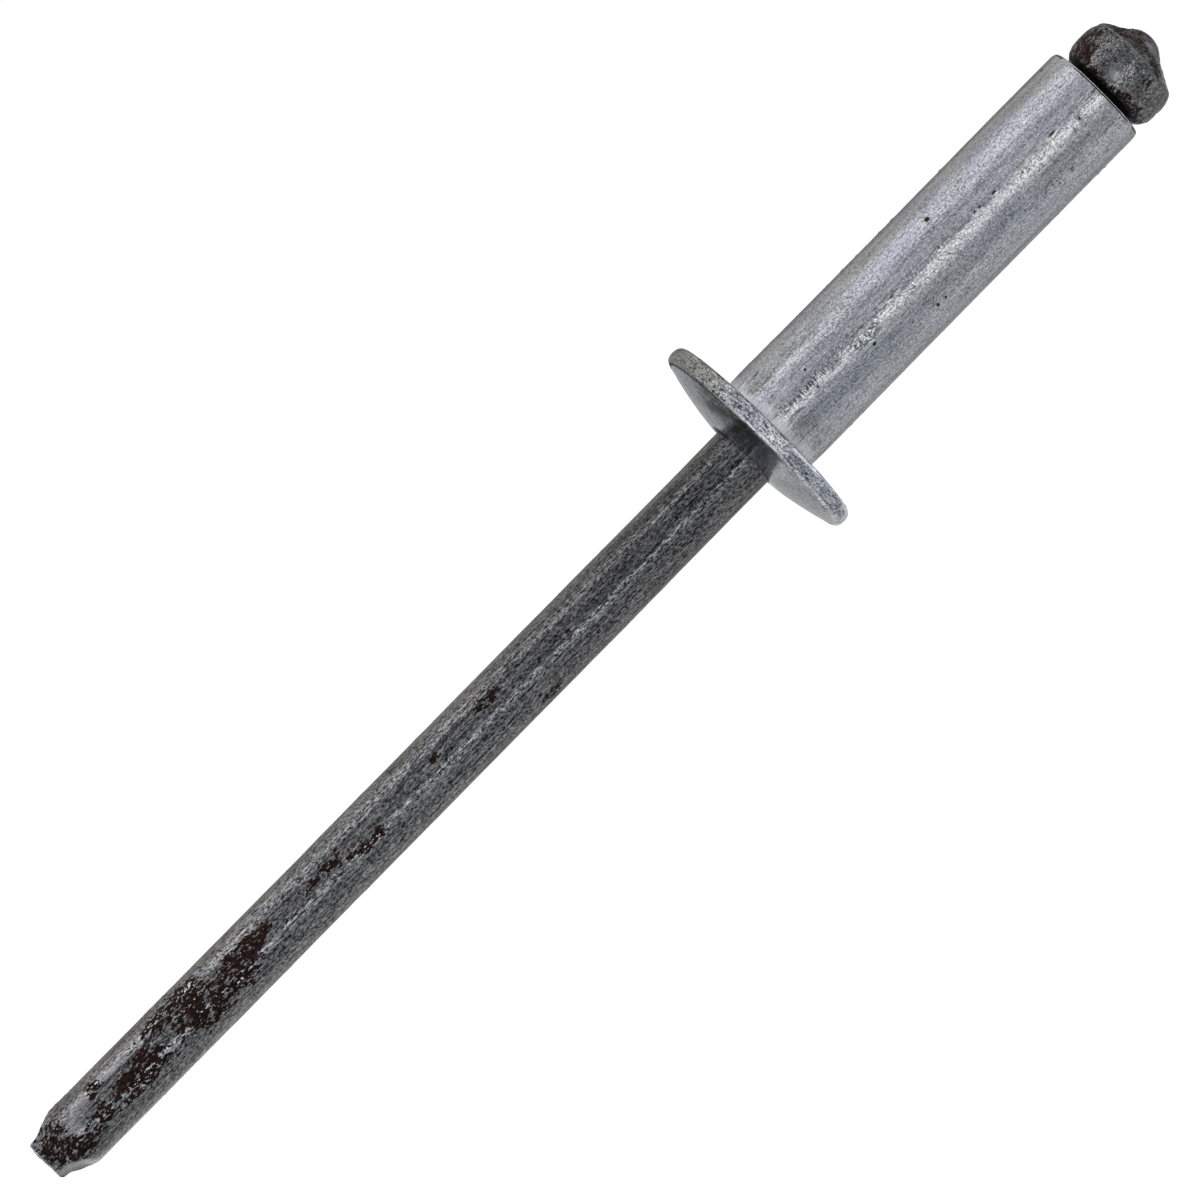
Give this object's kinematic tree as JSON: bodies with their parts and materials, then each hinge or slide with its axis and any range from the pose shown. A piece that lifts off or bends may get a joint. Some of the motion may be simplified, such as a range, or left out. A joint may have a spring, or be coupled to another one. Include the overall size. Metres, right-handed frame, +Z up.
{
  "type": "blind rivet",
  "caption": "Domed blind rivet before setting: aluminium sleeve with a round flange, and a steel mandrel through it with a knob head and a pinched tail.",
  "frame": {"origin": "on the surface that the rivet lies on, below the middle of its overall box", "axes": "+X from the mandrel's tail to its head, +Z up from the surface; the rivet's own centre line climbs 4.78 degrees from the tail to the head"},
  "size_m": [0.0438, 0.0066, 0.0067],
  "materials": {
    "sleeve_aluminium": "satin aluminium with fine lengthwise scratches and small dark pits",
    "mandrel_steel": "dark drawn steel wire with brown rust on the tail, the shank and the head"
  },
  "bodies": {
    "root": {"rivet_body": "sleeve_aluminium", "mandrel": "mandrel_steel"}
  },
  "joints": []
}
